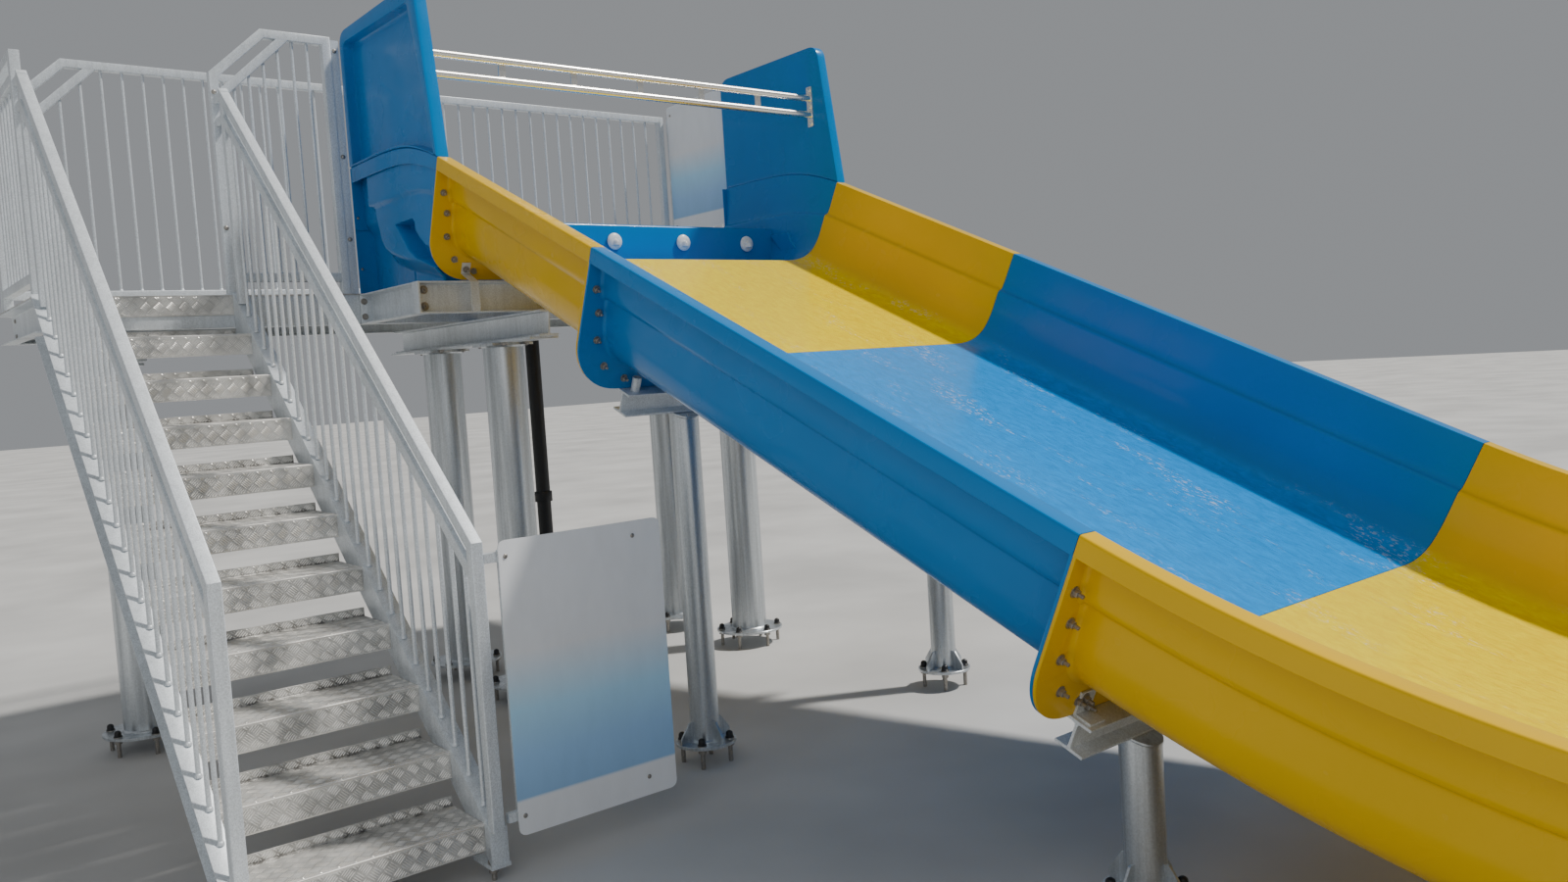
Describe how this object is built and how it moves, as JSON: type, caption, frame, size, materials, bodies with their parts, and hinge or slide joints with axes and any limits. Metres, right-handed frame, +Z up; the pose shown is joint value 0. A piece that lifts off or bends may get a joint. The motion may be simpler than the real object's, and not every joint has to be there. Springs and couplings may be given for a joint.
{
  "type": "water slide tower",
  "caption": "Family water slide with an open steel stair, a railed platform, a start tub between wing panels and a wide open channel that bends level near the ground.",
  "frame": {"origin": "middle of the plan's bounding box, at ground level", "axes": "+Z up, +Y from the slide's low end towards the platform, +X across from the stair towards the slide"},
  "size_m": [3.889, 8.815, 3.3206],
  "materials": {
    "galvanised": "hot-dip galvanised, dull spangle",
    "chequer_plate": "galvanised five-bar chequer plate, worn bright at the nosings",
    "stainless": "polished stainless tube",
    "yellow_shell": "glossy glass-fibre gelcoat",
    "blue_shell": "glossy glass-fibre gelcoat",
    "white_plastic": "moulded plastic",
    "black_pipe": "matt pressure pipe",
    "board": "coated sheet, pale with a blue band"
  },
  "bodies": {
    "root": {"cap_beam_left": "galvanised", "cap_beam_right": "galvanised", "cap_beam_stair": "galvanised", "fence_back": "galvanised", "fence_front": "galvanised", "fence_left": "galvanised", "fence_right": "galvanised", "grab_rail": "stainless", "platform_beam_back": "galvanised", "platform_beam_front": "galvanised", "platform_beam_left": "galvanised", "platform_beam_right": "galvanised", "platform_deck": "chequer_plate", "rules_board": "board", "runout_support_end": "galvanised", "runout_support_middle": "galvanised", "safety_board": "board", "slide_beam_1": "galvanised", "slide_beam_2": "galvanised", "slide_leg_1_left": "galvanised", "slide_leg_1_right": "galvanised", "slide_leg_2_left": "galvanised", "slide_leg_2_right": "galvanised", "slide_section_1": "yellow_shell", "slide_section_2": "blue_shell", "slide_section_3": "yellow_shell", "slide_section_4": "blue_shell", "stair_railing_left": "galvanised", "stair_railing_right": "galvanised", "stair_stringer_left": "galvanised", "stair_stringer_right": "galvanised", "stair_tread_02": "chequer_plate", "stair_tread_03": "chequer_plate", "stair_tread_04": "chequer_plate", "stair_tread_05": "chequer_plate", "stair_tread_06": "chequer_plate", "stair_tread_07": "chequer_plate", "stair_tread_08": "chequer_plate", "stair_tread_09": "chequer_plate", "stair_tread_10": "chequer_plate", "stair_tread_11": "chequer_plate", "start_tub": "blue_shell", "tower_column_back_left": "galvanised", "tower_column_back_right": "galvanised", "tower_column_front_left": "galvanised", "tower_column_front_right": "galvanised", "tower_column_stair": "galvanised", "tub_frame_front": "galvanised", "tub_frame_left": "galvanised", "tub_frame_right": "galvanised", "water_nozzles": "white_plastic", "water_riser": "black_pipe", "wing_left": "blue_shell", "wing_right": "blue_shell"}
  },
  "joints": []
}
